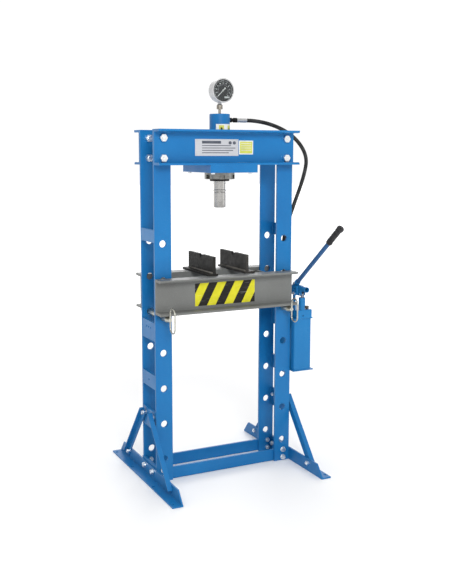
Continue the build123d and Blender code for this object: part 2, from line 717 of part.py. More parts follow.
bracket_x = (FRAME_HALF, FRAME_HALF + BRACKET_T)
with BuildPart() as tray:
    block((FRAME_HALF, TRAY_X), TRAY_Y, (TRAY_Z, TANK_Z[0]))
    block(bracket_x, (-BRACKET_Y, BRACKET_Y), (TRAY_Z, TRAY_Z + BRACKET_H))
    rod_x(bracket_x, *PUMP_SCREWS[-1], M8_HOLE_R, Mode.SUBTRACT)
save(tray, "tank_base_plate")

with BuildPart() as tank:
    block(TANK_X, TANK_Y, TANK_Z)
    fillet(tank.edges().filter_by(Axis.Z), TANK_FILLET)
    block(
        (TANK_X[0] + TANK_WALL, TANK_X[1] - TANK_WALL),
        (TANK_Y[0] + TANK_WALL, TANK_Y[1] - TANK_WALL),
        (TANK_Z[0] + TANK_WALL, TANK_Z[1]),
        Mode.SUBTRACT,
    )
save(tank, "pump_tank")

with BuildPart() as tank_top:
    block((bracket_x[1], TOP_PLATE_X), TOP_PLATE_Y, (TANK_Z[1], PUMP_HEAD_Z[0]))
    block(bracket_x, (-BRACKET_Y, BRACKET_Y), (TANK_Z[1] - 8.0, PUMP_HEAD_Z[1] - 6.0))
    for y, z in PUMP_SCREWS[:-1]:
        rod_x(bracket_x, y, z, M8_HOLE_R, Mode.SUBTRACT)
save(tank_top, "tank_top_plate")

with BuildPart() as pump_screws:
    for y, z in PUMP_SCREWS:
        rod_x((FRAME_HALF - BATTEN_T + 3.0, bracket_x[1]), y, z, 4.0)
save(pump_screws, "pump_screws")

with BuildPart() as pump_head:
    block(HEAD_X, HEAD_Y, PUMP_HEAD_Z)
    fillet(pump_head.edges().filter_by(Axis.Z), 8.0)
    fillet(pump_head.faces().sort_by(Axis.Z)[-1].edges(), 3.0)
    rod_z(PUMP_X, PLUNGER_Y, (PUMP_HEAD_Z[0] + 8.0, PUMP_HEAD_Z[1]), PLUNGER_R + RUNNING, Mode.SUBTRACT)
    rod_y(HEAD_PLUG[0], (HEAD_Y[0], HEAD_Y[0] + 6.0), HEAD_PLUG[1], 3.5, Mode.SUBTRACT)
save(pump_head, "pump_head")

with BuildPart() as pump_barrel:
    rod_z(PUMP_X, PLUNGER_Y, (PUMP_HEAD_Z[1], PUMP_BARREL_TOP), PUMP_BARREL_R)
    rod_z(PUMP_X, PLUNGER_Y, (PUMP_HEAD_Z[1], PUMP_BARREL_TOP), PLUNGER_R + RUNNING, Mode.SUBTRACT)
save(pump_barrel, "pump_barrel")

with BuildPart() as pivot_posts:
    for sx in (-1.0, 1.0):
        span = (PUMP_X + sx * POST_X[0], PUMP_X + sx * POST_X[1])
        block(span, (PIVOT_Y - POST_R, PIVOT_Y + POST_R), (PUMP_HEAD_Z[1], PIVOT_Z))
        rod_x(span, PIVOT_Y, PIVOT_Z, POST_R)
        rod_x(span, PIVOT_Y, PIVOT_Z, PIVOT_R + RUNNING, Mode.SUBTRACT)
save(pivot_posts, "pump_pivot_posts")

with BuildPart() as pivot_pin:
    rod_x((PUMP_X - POST_X[1], PUMP_X + POST_X[1]), PIVOT_Y, PIVOT_Z, PIVOT_R)
    for sx in (-1.0, 1.0):
        rod_x((PUMP_X + sx * POST_X[1], PUMP_X + sx * (POST_X[1] + 3.0)), PIVOT_Y, PIVOT_Z, PIVOT_R + 2.5)
save(pivot_pin, "pump_pivot_pin")

with BuildPart() as plunger:
    eye_x = (PUMP_X - 6.0, PUMP_X + 6.0)
    eye_y = (PLUNGER_Y - 0.5, PLUNGER_Y + 3.3)
    slot_x = (PUMP_X - 7.0, PUMP_X + 7.0)
    slot_y = (PLUNGER_Y, PLUNGER_Y + 2.9)
    rod_z(PUMP_X, PLUNGER_Y, (PUMP_HEAD_Z[1] - 8.0, PIVOT_Z - LINK_R), PLUNGER_R)
    block(eye_x, eye_y, (PIVOT_Z - EYE_R, PIVOT_Z + EYE_R))
    for y in eye_y:
        rod_x(eye_x, y, PIVOT_Z, EYE_R)
    for y in slot_y:
        rod_x(slot_x, y, PIVOT_Z, SLOT_R, Mode.SUBTRACT)
    block(slot_x, slot_y, (PIVOT_Z - SLOT_R, PIVOT_Z + SLOT_R), Mode.SUBTRACT)
save(plunger, "pump_plunger")

with BuildPart() as plunger_cap:
    rod_z(PUMP_X, PLUNGER_Y, CAP_Z, CAP_R)
    chamfer(plunger_cap.faces().sort_by(Axis.Z)[-1].edges(), 1.5)
    rod_z(PUMP_X, PLUNGER_Y, (CAP_Z[0], CAP_Z[1] - CAP_LID), PUMP_BARREL_R + LOOSE, Mode.SUBTRACT)
    rod_z(PUMP_X, PLUNGER_Y, (CAP_Z[1] - CAP_LID, CAP_Z[1]), PLUNGER_R + LOOSE, Mode.SUBTRACT)
save(plunger_cap, "plunger_cap")

lever_run = LEVER_TIP[0] - LEVER_ROOT[0]
lever_rise = LEVER_TIP[1] - LEVER_ROOT[1]
lever_length = hypot(lever_run, lever_rise)
lever_dir = (0, lever_run / lever_length, lever_rise / lever_length)


def on_lever(distance):
    """Point on the lever's axis, measured from its root."""
    return (PUMP_X, LEVER_ROOT[0] + lever_dir[1] * distance, LEVER_ROOT[1] + lever_dir[2] * distance)


clamp_at = on_lever(CLAMP_AT)
reach = (PUMP_X - CHEEK_X[1] - 1.0, PUMP_X + CHEEK_X[1] + 1.0)
with BuildPart() as rocker:
    rod_y(PUMP_X, SOCKET_Y, SOCKET_Z, SOCKET_R)
    shank(on_lever(LEVER_SOCKET[0]), lever_dir, LEVER_SOCKET_R, LEVER_SOCKET[1] - LEVER_SOCKET[0])
    for sx in (-1.0, 1.0):
        arm = (PUMP_X + sx * ARM_X[0], PUMP_X + sx * ARM_X[1])
        block(arm, (PLUNGER_Y, PIVOT_Y), (PIVOT_Z - EYE_R, SOCKET_Z))
        for y in (PLUNGER_Y, PIVOT_Y):
            rod_x(arm, y, PIVOT_Z, EYE_R)
        block(arm, (PLUNGER_Y - EYE_R, PLUNGER_Y), (PIVOT_Z, SOCKET_Z))
        block((PUMP_X + sx * CHEEK_X[0], PUMP_X + sx * CHEEK_X[1]), CHEEK_Y, CHEEK_Z)
    rod_y(PUMP_X, (SOCKET_Y[0], SOCKET_FLOOR), SOCKET_Z, SOCKET_BORE, Mode.SUBTRACT)
    shank(on_lever(0), lever_dir, LEVER_R + LOOSE, LEVER_SOCKET[1], Mode.SUBTRACT)
    rod_x(reach, PIVOT_Y, PIVOT_Z, PIVOT_R + RUNNING, Mode.SUBTRACT)
    rod_x(reach, PLUNGER_Y, PIVOT_Z, LINK_R + LOOSE, Mode.SUBTRACT)
    rod_x((reach[0], PUMP_X - CHEEK_X[0]), *CHEEK_HOLE, CHEEK_HOLE_R, Mode.SUBTRACT)
    rod_x((reach[0], PUMP_X), clamp_at[1], clamp_at[2], CLAMP_HOLE_R, Mode.SUBTRACT)
save(rocker, "rocker")

with BuildPart() as lever_fasteners:
    screw_x = PUMP_X - LEVER_SOCKET_R - 1.0
    rod_x((PUMP_X - ARM_X[1], PUMP_X + ARM_X[1]), PLUNGER_Y, PIVOT_Z, LINK_R)
    rod_x((screw_x, PUMP_X - LEVER_R), clamp_at[1], clamp_at[2], CLAMP_HOLE_R - LOOSE)
    hexagon((screw_x, clamp_at[1], clamp_at[2]), (-1, 0, 0), 10.0, 4.0)
save(lever_fasteners, "lever_fasteners")

with BuildPart() as lever_tube:
    shank(on_lever(0), lever_dir, LEVER_R, lever_length - 6.0)
    shank(on_lever(0), lever_dir, LEVER_R - 2.0, lever_length - 6.0, Mode.SUBTRACT)
save(lever_tube, "lever_tube")

grip_start = lever_length - GRIP_LENGTH
with BuildPart() as lever_grip:
    shank(on_lever(grip_start), lever_dir, GRIP_R, GRIP_LENGTH)
    shank(on_lever(grip_start), lever_dir, GRIP_R + 1.5, 5.0)
    shank(on_lever(lever_length - GRIP_END), lever_dir, GRIP_END_R, GRIP_END)
    for i in range(GRIP_WAVES):
        wave = on_lever(grip_start + GRIP_WAVE_AT + GRIP_WAVE_PITCH * i)
        off_y = GRIP_WAVE_OFF * lever_dir[2]
        off_z = -GRIP_WAVE_OFF * lever_dir[1]
        with Locations((PUMP_X, wave[1] + off_y, wave[2] + off_z)):
            Sphere(GRIP_WAVE_R)
    shank(on_lever(grip_start - 5.0), lever_dir, LEVER_R + LOOSE, GRIP_LENGTH, Mode.SUBTRACT)
    shank(on_lever(lever_length - 5.0), lever_dir, GRIP_HOLE_R, 5.0, Mode.SUBTRACT)
save(lever_grip, "lever_grip")

with BuildPart() as release_knob:
    knob_z = (PUMP_HEAD_Z[1] + 4.0, PUMP_HEAD_Z[1] + 14.0)
    rod_z(*KNOB, (PUMP_HEAD_Z[1], knob_z[0]), 5.0)
    rod_z(*KNOB, knob_z, KNOB_R)
    for i in range(8):
        angle = radians(45.0 * i)
        groove = (KNOB[0] + (KNOB_R + 1.0) * cos(angle), KNOB[1] + (KNOB_R + 1.0) * sin(angle))
        rod_z(*groove, knob_z, 2.2, Mode.SUBTRACT)
save(release_knob, "release_knob")

with BuildPart() as filler_cap:
    hexagon((FILLER[0], FILLER[1], PUMP_HEAD_Z[0]), (0, 0, 1), 17.0, 9.0)
    rod_z(FILLER[0], FILLER[1], (PUMP_HEAD_Z[0] + 9.0, PUMP_HEAD_Z[0] + 12.0), 7.0)
save(filler_cap, "filler_cap")
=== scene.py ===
import json
import math
import random

import bmesh
import bpy
from mathutils import Matrix, Vector


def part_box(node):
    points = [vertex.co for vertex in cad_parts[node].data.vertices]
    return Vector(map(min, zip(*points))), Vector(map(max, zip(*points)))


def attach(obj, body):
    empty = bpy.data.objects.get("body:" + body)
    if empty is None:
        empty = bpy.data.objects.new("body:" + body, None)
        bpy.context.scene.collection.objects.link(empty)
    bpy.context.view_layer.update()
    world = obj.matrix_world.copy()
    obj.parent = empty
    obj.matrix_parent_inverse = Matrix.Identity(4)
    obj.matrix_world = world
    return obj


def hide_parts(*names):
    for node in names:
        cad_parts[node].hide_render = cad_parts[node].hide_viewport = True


# Looks of the hydraulic shop press. Metres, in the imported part's frame: +Z up, +Y to the rear.

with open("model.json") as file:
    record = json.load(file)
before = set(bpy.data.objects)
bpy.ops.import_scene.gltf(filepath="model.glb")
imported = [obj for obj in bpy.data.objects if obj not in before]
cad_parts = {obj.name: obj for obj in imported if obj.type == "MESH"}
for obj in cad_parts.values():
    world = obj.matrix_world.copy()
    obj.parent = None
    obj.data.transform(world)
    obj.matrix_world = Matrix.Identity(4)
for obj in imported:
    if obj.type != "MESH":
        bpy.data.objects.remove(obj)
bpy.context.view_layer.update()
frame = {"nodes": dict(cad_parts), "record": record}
random.seed(7)


# ---- shader helpers ---------------------------------------------------------

BEVEL_SAMPLES = 4


def srgb(r, g, b):
    """Screen colour, 0 to 255, as a linear RGBA value."""
    channels = []
    for value in (r, g, b):
        c = value / 255
        channels.append(c / 12.92 if c <= 0.04045 else ((c + 0.055) / 1.055) ** 2.4)
    return (*channels, 1.0)


def new_material(name, roughness=0.5, metallic=0.0, **sockets):
    """A material with one Principled shader. Sockets are set by name, with _ for a space."""
    material = bpy.data.materials.new(name)
    material.use_nodes = True
    shader = material.node_tree.nodes["Principled BSDF"]
    shader.inputs["Roughness"].default_value = roughness
    shader.inputs["Metallic"].default_value = metallic
    for socket, value in sockets.items():
        shader.inputs[socket.replace("_", " ")].default_value = value
    return material, material.node_tree, shader


def place(tree, stretch=(1, 1, 1)):
    """The piece's own coordinates, scaled along each axis."""
    source = tree.nodes.new("ShaderNodeTexCoord")
    mapping = tree.nodes.new("ShaderNodeMapping")
    mapping.inputs["Scale"].default_value = stretch
    tree.links.new(source.outputs["Object"], mapping.inputs["Vector"])
    return mapping.outputs["Vector"]


def noise(tree, vector, scale, detail=3.0):
    """Cloudy noise around 0.5."""
    node = tree.nodes.new("ShaderNodeTexNoise")
    node.inputs["Scale"].default_value = scale
    node.inputs["Detail"].default_value = detail
    tree.links.new(vector, node.inputs["Vector"])
    return node.outputs["Fac"]


def remap(tree, value, low, high, to_low, to_high):
    """Maps low..high to to_low..to_high, clamped."""
    node = tree.nodes.new("ShaderNodeMapRange")
    for socket, number in zip(("From Min", "From Max", "To Min", "To Max"), (low, high, to_low, to_high)):
        node.inputs[socket].default_value = number
    tree.links.new(value, node.inputs["Value"])
    return node.outputs["Result"]


def math_node(tree, operation, *values):
    """Arithmetic on numbers and node outputs."""
    node = tree.nodes.new("ShaderNodeMath")
    node.operation = operation
    for socket, value in zip(node.inputs, values):
        if isinstance(value, (int, float)):
            socket.default_value = value
        else:
            tree.links.new(value, socket)
    return node.outputs["Value"]


def mix(tree, factor, a, b, blend="MIX"):
    """Mixes two colours; each is a colour or a node's output."""
    node = tree.nodes.new("ShaderNodeMix")
    node.data_type = "RGBA"
    node.blend_type = blend
    for socket, value in ((node.inputs[0], factor), (node.inputs[6], a), (node.inputs[7], b)):
        if isinstance(value, bpy.types.NodeSocket):
            tree.links.new(value, socket)
        else:
            socket.default_value = value
    return node.outputs[2]


def rounded_normal(tree, radius):
    """The surface normal, as if the piece's edges were rounded by the radius."""
    bevel = tree.nodes.new("ShaderNodeBevel")
    bevel.samples = BEVEL_SAMPLES
    bevel.inputs["Radius"].default_value = radius
    return bevel.outputs["Normal"]


def edges(tree, radius):
    """1 near sharp edges of the piece and 0 on its flat faces."""
    geometry = tree.nodes.new("ShaderNodeNewGeometry")
    dot = tree.nodes.new("ShaderNodeVectorMath")
    dot.operation = "DOT_PRODUCT"
    tree.links.new(rounded_normal(tree, radius), dot.inputs[0])
    tree.links.new(geometry.outputs["Normal"], dot.inputs[1])
    return remap(tree, dot.outputs["Value"], 1.0, 0.8, 0.0, 1.0)


def bump(tree, shader, height, distance, strength, round_edges=0.0):
    """Fine relief, over edges rounded by the given radius."""
    node = tree.nodes.new("ShaderNodeBump")
    node.inputs["Distance"].default_value = distance
    node.inputs["Strength"].default_value = strength
    tree.links.new(height, node.inputs["Height"])
    if round_edges:
        tree.links.new(rounded_normal(tree, round_edges), node.inputs["Normal"])
    tree.links.new(node.outputs["Normal"], shader.inputs["Normal"])


# ---- materials --------------------------------------------------------------


def enamel(name, base, shade, edge, gloss=0.34, dust=0.03):
    """Sprayed enamel: cloudy tone, orange peel, specks of dust, lighter worn edges, fine scratches."""
    material, tree, shader = new_material(name, Specular_IOR_Level=0.22, Coat_Weight=0.06,
                                          Coat_Roughness=0.25)
    where = place(tree)
    tone = remap(tree, noise(tree, where, 5.0, 4.0), 0.3, 0.7, 0.0, 1.0)
    colour = mix(tree, tone, base, shade)
    speckle = remap(tree, noise(tree, where, 420.0, 2.0), 0.62, 0.75, 0.0, dust)
    colour = mix(tree, speckle, colour, srgb(225, 230, 235))
    patches = remap(tree, noise(tree, where, 60.0), 0.35, 0.7, 0.1, 0.7)
    colour = mix(tree, math_node(tree, "MULTIPLY", edges(tree, 0.0016), patches), colour, edge)
    tree.links.new(colour, shader.inputs["Base Color"])
    streak = noise(tree, place(tree, stretch=(60, 60, 2.5)), 3.0, 4.0)
    sheen = remap(tree, noise(tree, where, 14.0), 0.3, 0.7, gloss - 0.06, gloss + 0.08)
    scratches = remap(tree, streak, 0.5, 0.75, 0.0, 0.08)
    tree.links.new(math_node(tree, "ADD", sheen, scratches), shader.inputs["Roughness"])
    peel = math_node(tree, "ADD", noise(tree, where, 340.0, 1.0), math_node(tree, "MULTIPLY", streak, 0.4))
    bump(tree, shader, peel, 0.00018, 0.6, round_edges=0.0012)
    return material


def zinc(name, tint, warm, stain):
    """Zinc plating: fine grain, patches of a warmer tint and a little grime."""
    material, tree, shader = new_material(name, metallic=1.0)
    where = place(tree)
    patches = remap(tree, noise(tree, where, 55.0, 3.0), 0.4, 0.7, 0.0, stain)
    colour = mix(tree, patches, tint, warm)
    grime = remap(tree, noise(tree, where, 190.0, 3.0), 0.55, 0.75, 0.0, 0.6)
    colour = mix(tree, grime, colour, (0.3, 0.29, 0.26, 1.0))
    tree.links.new(colour, shader.inputs["Base Color"])
    tree.links.new(remap(tree, noise(tree, where, 120.0), 0.3, 0.7, 0.24, 0.46), shader.inputs["Roughness"])
    bump(tree, shader, noise(tree, where, 900.0, 2.0), 0.0001, 0.5, round_edges=0.0006)
    return material


def turned(name, tone, dark, rough=(0.18, 0.36)):
    """Turned metal: fine rings around the Z axis under a patchy oil film."""
    material, tree, shader = new_material(name, metallic=1.0)
    rings = noise(tree, place(tree, stretch=(4, 4, 900)), 1.0, 4.0)
    where = place(tree)
    film = remap(tree, noise(tree, where, 28.0, 3.0), 0.42, 0.7, 0.0, 0.65)
    colour = mix(tree, film, mix(tree, rings, tone, dark), dark)
    tree.links.new(colour, shader.inputs["Base Color"])
    tree.links.new(remap(tree, rings, 0.3, 0.7, rough[0], rough[1]), shader.inputs["Roughness"])
    bump(tree, shader, rings, 0.0001, 0.55, round_edges=0.0006)
    return material


def brushed(name, tone, dark, stretch=(900, 4, 4), rough=(0.12, 0.3), metal=1.0):
    """Brushed or polished sheet metal."""
    material, tree, shader = new_material(name, metallic=metal)
    grain = noise(tree, place(tree, stretch=stretch), 1.0, 3.0)
    smear = remap(tree, noise(tree, place(tree), 22.0, 4.0), 0.45, 0.7, 0.0, 0.3)
    tree.links.new(mix(tree, smear, mix(tree, grain, tone, dark), dark), shader.inputs["Base Color"])
    tree.links.new(remap(tree, grain, 0.3, 0.7, rough[0], rough[1]), shader.inputs["Roughness"])
    bump(tree, shader, grain, 0.00006, 0.5, round_edges=0.0006)
    return material


def blackened(name, dark, light, worn_to):
    """Cast and black-oxided steel: grainy skin, a painted reflection that turns it lighter towards the front
    end, greyed worn edges.
    """
    material, tree, shader = new_material(name, Specular_IOR_Level=0.1)
    where = place(tree)
    split = tree.nodes.new("ShaderNodeSeparateXYZ")
    tree.links.new(where, split.inputs["Vector"])
    # Painted reflection: the colour turns lighter towards the front end (low Y).
    painted_reflection = remap(tree, split.outputs["Y"], -0.1, 0.16, 1.0, 0.0)
    skin = remap(tree, noise(tree, where, 30.0, 5.0), 0.35, 0.7, -0.25, 0.25)
    colour = mix(tree, math_node(tree, "ADD", painted_reflection, skin), dark, light)
    patches = remap(tree, noise(tree, where, 80.0), 0.35, 0.65, 0.1, 0.6)
    colour = mix(tree, math_node(tree, "MULTIPLY", edges(tree, 0.0018), patches), colour, worn_to)
    tree.links.new(colour, shader.inputs["Base Color"])
    tree.links.new(remap(tree, noise(tree, where, 90.0), 0.3, 0.7, 0.36, 0.6), shader.inputs["Roughness"])
    bump(tree, shader, noise(tree, where, 420.0, 4.0), 0.0004, 0.6, round_edges=0.0014)
    return material


def rubber(name, dark, light, grain=700.0, rough=(0.5, 0.72)):
    """Moulded rubber or plastic: fine grain, greyed high spots."""
    material, tree, shader = new_material(name, Specular_IOR_Level=0.25)
    where = place(tree)
    bloom = remap(tree, noise(tree, where, 45.0, 4.0), 0.4, 0.72, 0.0, 1.0)
    colour = mix(tree, bloom, dark, light)
    worn = math_node(tree, "MULTIPLY", edges(tree, 0.0012), 0.5)
    tree.links.new(mix(tree, worn, colour, srgb(96, 96, 97)), shader.inputs["Base Color"])
    sheen = remap(tree, noise(tree, where, 60.0), 0.3, 0.7, rough[0], rough[1])
    tree.links.new(sheen, shader.inputs["Roughness"])
    bump(tree, shader, noise(tree, where, grain, 3.0), 0.00025, 0.6, round_edges=0.0008)
    return material


def hose_cover(name, turns):
    """Rubber hose with the spiral print of the cloth it was cured in."""
    material, tree, shader = new_material(name, Specular_IOR_Level=0.25)
    source = tree.nodes.new("ShaderNodeTexCoord")
    split = tree.nodes.new("ShaderNodeSeparateXYZ")
    tree.links.new(source.outputs["UV"], split.inputs["Vector"])
    along = math_node(tree, "MULTIPLY", split.outputs["X"], turns)
    around = math_node(tree, "ADD", along, split.outputs["Y"])
    wrap = math_node(tree, "SINE", math_node(tree, "MULTIPLY", around, 2 * math.pi))
    where = place(tree)
    bloom = remap(tree, noise(tree, where, 40.0, 4.0), 0.4, 0.7, 0.0, 1.0)
    tree.links.new(mix(tree, bloom, srgb(26, 27, 27), srgb(52, 53, 53)), shader.inputs["Base Color"])
    tree.links.new(remap(tree, noise(tree, where, 80.0), 0.3, 0.7, 0.38, 0.6), shader.inputs["Roughness"])
    weave = math_node(tree, "ADD", math_node(tree, "MULTIPLY", wrap, 0.5), noise(tree, where, 900.0, 2.0))
    bump(tree, shader, weave, 0.0002, 0.7)
    return material


def print_on(name, base, tint, rough=0.38):
    """Ink or foil on a sticker or plate: faint mottling, small scuffs, a slightly waxy gloss."""
    material, tree, shader = new_material(name, Specular_IOR_Level=0.2, Coat_Weight=0.05,
                                          Coat_Roughness=0.25)
    where = place(tree)
    mottle = remap(tree, noise(tree, where, 40.0, 4.0), 0.35, 0.7, 0.0, 1.0)
    colour = mix(tree, mottle, base, tint)
    scuff = remap(tree, noise(tree, place(tree, stretch=(3, 1, 40)), 6.0, 5.0), 0.63, 0.72, 0.0, 0.18)
    tree.links.new(mix(tree, scuff, colour, srgb(205, 205, 200)), shader.inputs["Base Color"])
    tree.links.new(remap(tree, noise(tree, where, 90.0), 0.3, 0.7, rough - 0.08, rough + 0.12),
                   shader.inputs["Roughness"])
    bump(tree, shader, noise(tree, where, 350.0, 2.0), 0.00006, 0.5)
    return material


def window_glass(name):
    """Clear gauge window with the faintest haze."""
    material, tree, shader = new_material(name, Transmission_Weight=1.0, IOR=1.45, Specular_IOR_Level=0.5)
    where = place(tree)
    haze = noise(tree, where, 30.0, 4.0)
    tree.links.new(mix(tree, haze, (0.97, 0.99, 0.99, 1), (0.9, 0.93, 0.94, 1)), shader.inputs["Base Color"])
    tree.links.new(remap(tree, haze, 0.4, 0.75, 0.0, 0.06), shader.inputs["Roughness"])
    return material


FADE_NEAR = 1.5
FADE_FAR = 5.0
PAINTED_GLOW = 0.6


def floor_paint(name):
    """Smooth pale studio floor with a painted glow that grows far from the press, fading it to the white of
    the surroundings.
    """
    material, tree, shader = new_material(name, Emission_Color=(1.0, 1.0, 1.0, 1.0))
    where = place(tree)
    distance = tree.nodes.new("ShaderNodeVectorMath")
    distance.operation = "LENGTH"
    tree.links.new(where, distance.inputs[0])
    # Painted light: the floor glows more the farther it lies from the press.
    painted_glow = remap(tree, distance.outputs["Value"], FADE_NEAR, FADE_FAR, 0.0, PAINTED_GLOW)
    tree.links.new(painted_glow, shader.inputs["Emission Strength"])
    cloud = remap(tree, noise(tree, where, 0.6, 3.0), 0.3, 0.7, 0.0, 1.0)
    tree.links.new(mix(tree, cloud, (0.93, 0.93, 0.93, 1), (0.9, 0.9, 0.905, 1)), shader.inputs["Base Color"])
    tree.links.new(remap(tree, cloud, 0.0, 1.0, 0.55, 0.7), shader.inputs["Roughness"])
    return material


BLUE = enamel("blue_paint", srgb(24, 112, 172), srgb(20, 103, 163), srgb(74, 140, 196))
BLUE_PUMP = enamel("blue_paint_pump", srgb(28, 117, 176), srgb(24, 108, 167), srgb(84, 150, 200), gloss=0.3)
BLUE_LEVER = enamel("blue_paint_lever", srgb(56, 100, 148), srgb(44, 84, 130), srgb(110, 150, 186),
                    gloss=0.36)
BED_GREY = enamel("bed_paint", srgb(118, 120, 118), srgb(106, 107, 105), srgb(168, 168, 162), gloss=0.4,
                  dust=0.1)
ZINC = zinc("zinc", tint=(0.9, 0.92, 0.93, 1.0), warm=(0.82, 0.81, 0.76, 1.0), stain=0.4)
PIN_ZINC = zinc("pin_zinc", tint=(0.5, 0.5, 0.45, 1.0), warm=(0.36, 0.34, 0.25, 1.0), stain=0.7)
STEEL = turned("machined_steel", (0.6, 0.59, 0.57, 1), (0.22, 0.215, 0.21, 1), rough=(0.12, 0.24))
RING_STEEL = turned("ring_nut_steel", (0.38, 0.38, 0.36, 1), (0.13, 0.13, 0.12, 1), rough=(0.22, 0.36))
POLISHED = brushed("polished_steel", (0.78, 0.78, 0.78, 1), (0.5, 0.5, 0.5, 1), rough=(0.25, 0.42))
BEZEL = brushed("bezel_steel", (0.62, 0.62, 0.62, 1), (0.44, 0.44, 0.44, 1), rough=(0.3, 0.45), metal=0.3)
PLUNGER = turned("plunger_steel", (0.3, 0.32, 0.36, 1), (0.12, 0.13, 0.16, 1))
BRASS = turned("brass", (0.42, 0.39, 0.34, 1), (0.2, 0.18, 0.15, 1))
SPRING = turned("spring_steel", (0.3, 0.3, 0.3, 1), (0.16, 0.15, 0.15, 1))
SEAL = rubber("seal_rubber", srgb(22, 22, 22), srgb(40, 40, 40))
BLACK_STEEL = blackened("black_steel", srgb(16, 15, 14), srgb(64, 62, 60), srgb(98, 96, 92))
# Painted shade: a darker copy of the black steel, used for the left V-block only.
BLACK_STEEL_SHADED = blackened("black_steel_left", srgb(10, 10, 9), srgb(44, 43, 41), srgb(82, 80, 76))
WELD = blackened("weld_bead", srgb(70, 68, 64), srgb(120, 116, 108), srgb(160, 156, 150))
FITTING = blackened("black_fitting", srgb(22, 22, 22), srgb(30, 30, 30), srgb(84, 84, 82))
PLASTIC = rubber("black_plastic", srgb(20, 20, 21), srgb(38, 38, 39), grain=1200.0, rough=(0.32, 0.5))
KNOB = rubber("knob_plastic", srgb(74, 68, 62), srgb(98, 92, 86), grain=1200.0, rough=(0.35, 0.5))
GRIP = rubber("grip_rubber", srgb(36, 36, 38), srgb(62, 61, 63))
HOSE = hose_cover("hose_rubber", 170.0)
DIAL = print_on("dial_face", srgb(52, 53, 54), srgb(66, 67, 68), rough=0.5)
NEEDLE = print_on("needle_white", srgb(240, 240, 236), srgb(225, 225, 220), rough=0.35)
GLASS = window_glass("gauge_glass")
PLATE = brushed("plate_aluminium", (0.74, 0.75, 0.78, 1), (0.55, 0.56, 0.6, 1), stretch=(4, 900, 900),
                rough=(0.3, 0.45))
YELLOW = print_on("sticker_yellow", srgb(214, 208, 40), srgb(200, 194, 34))
BLACK_INK = print_on("sticker_black", srgb(22, 20, 16), srgb(32, 29, 26))
WHITE_INK = print_on("sticker_white", srgb(228, 230, 228), srgb(216, 219, 218))
LIME_INK = print_on("sticker_lime", srgb(204, 204, 98), srgb(188, 192, 88))
GREY_INK = print_on("plate_ink", srgb(74, 78, 88), srgb(92, 96, 104))
PALE_INK = print_on("dial_ink", srgb(220, 221, 220), srgb(200, 201, 200))

BY_SLOT = {
    "blue_paint": BLUE,
    "bed_paint": BED_GREY,
    "zinc": ZINC,
    "machined_steel": STEEL,
    "polished_steel": POLISHED,
    "brass": BRASS,
    "spring_steel": SPRING,
    "seal_rubber": SEAL,
    "black_steel": BLACK_STEEL,
    "black_plastic": PLASTIC,
    "grip_rubber": GRIP,
    "hose_rubber": HOSE,
    "dial_face": DIAL,
    "needle_white": NEEDLE,
    "gauge_glass": GLASS,
    "plate_aluminium": PLATE,
}
PUMP_NODES = ("pump_tank", "tank_base_plate", "tank_top_plate", "pump_head", "pump_barrel", "plunger_cap",
              "pump_pivot_posts", "rocker")
PIN_NODES = ("left_pin", "right_pin", "left_pin_handle", "right_pin_handle")
BY_NODE = {
    "release_knob": KNOB,
    "hose_fittings": FITTING,
    "cylinder_ring_nut": RING_STEEL,
    "lever_tube": BLUE_LEVER,
    "left_v_block": BLACK_STEEL_SHADED,
    "gauge_bezel": BEZEL,
    "gauge_case": BEZEL,
    "pump_plunger": PLUNGER,
}
BY_NODE |= dict.fromkeys(PUMP_NODES, BLUE_PUMP) | dict.fromkeys(PIN_NODES, PIN_ZINC)

slot_of = {part["node"]: part["material_slot"] for part in frame["record"]["subparts"]}
for node, cad in frame["nodes"].items():
    cad.data.materials.clear()
    cad.data.materials.append(BY_NODE.get(node, BY_SLOT[slot_of[node]]))


# ---- mesh helpers -----------------------------------------------------------

# Each printed layer stands STICKER off the surface below it.
STICKER = 0.0003
INK_DEPTH = 0.0002
PANEL_CORNER = 0.002
BAR_CORNER = 0.001
LINE_CORNER = 0.0006

BEAD_SIDES = 10
BEAD_PITCH = 0.0022
BEAD_TAPER = 0.45
RIPPLE = 0.13
RIPPLE_STEP = 2.1
RIPPLE_NOISE = 0.08


def finish_piece(name, mesh, material, body, smooth=False):
    """Turns a bmesh into a named piece that rides on a body."""
    data = bpy.data.meshes.new(name)
    bmesh.ops.recalc_face_normals(mesh, faces=mesh.faces)
    mesh.to_mesh(data)
    mesh.free()
    for polygon in data.polygons:
        polygon.use_smooth = smooth
    piece = bpy.data.objects.new(name, data)
    bpy.context.scene.collection.objects.link(piece)
    data.materials.append(material)
    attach(piece, body)


def prism(mesh, outline, front, depth):
    """A thin plate facing -Y: outline holds (x, z) points, front is its outer Y."""
    faces = []
    for y in (front, front + depth):
        faces.append([mesh.verts.new((x, y, z)) for x, z in outline])
    mesh.faces.new(faces[0])
    mesh.faces.new(list(reversed(faces[1])))
    for i in range(len(outline)):
        j = (i + 1) % len(outline)
        mesh.faces.new((faces[0][i], faces[1][i], faces[1][j], faces[0][j]))


def rounded(x0, x1, z0, z1, radius, steps=5):
    """Outline of a rectangle with rounded corners."""
    corners = ((x1 - radius, z1 - radius, 0), (x0 + radius, z1 - radius, 90), (x0 + radius, z0 + radius, 180),
               (x1 - radius, z0 + radius, 270))
    points = []
    for cx, cz, start in corners:
        for i in range(steps + 1):
            angle = math.radians(start + 90 * i / steps)
            points.append((cx + radius * math.cos(angle), cz + radius * math.sin(angle)))
    return points


def cut(points, limit, keep_above):
    """Clips an outline at x = limit and keeps the part above or below it."""
    result = []
    for (x0, z0), (x1, z1) in zip(points, points[1:] + points[:1]):
        inside0 = (x0 >= limit) == keep_above
        inside1 = (x1 >= limit) == keep_above
        if inside0:
            result.append((x0, z0))
        if inside0 != inside1:
            t = (limit - x0) / (x1 - x0)
            result.append((limit, z0 + t * (z1 - z0)))
    return result


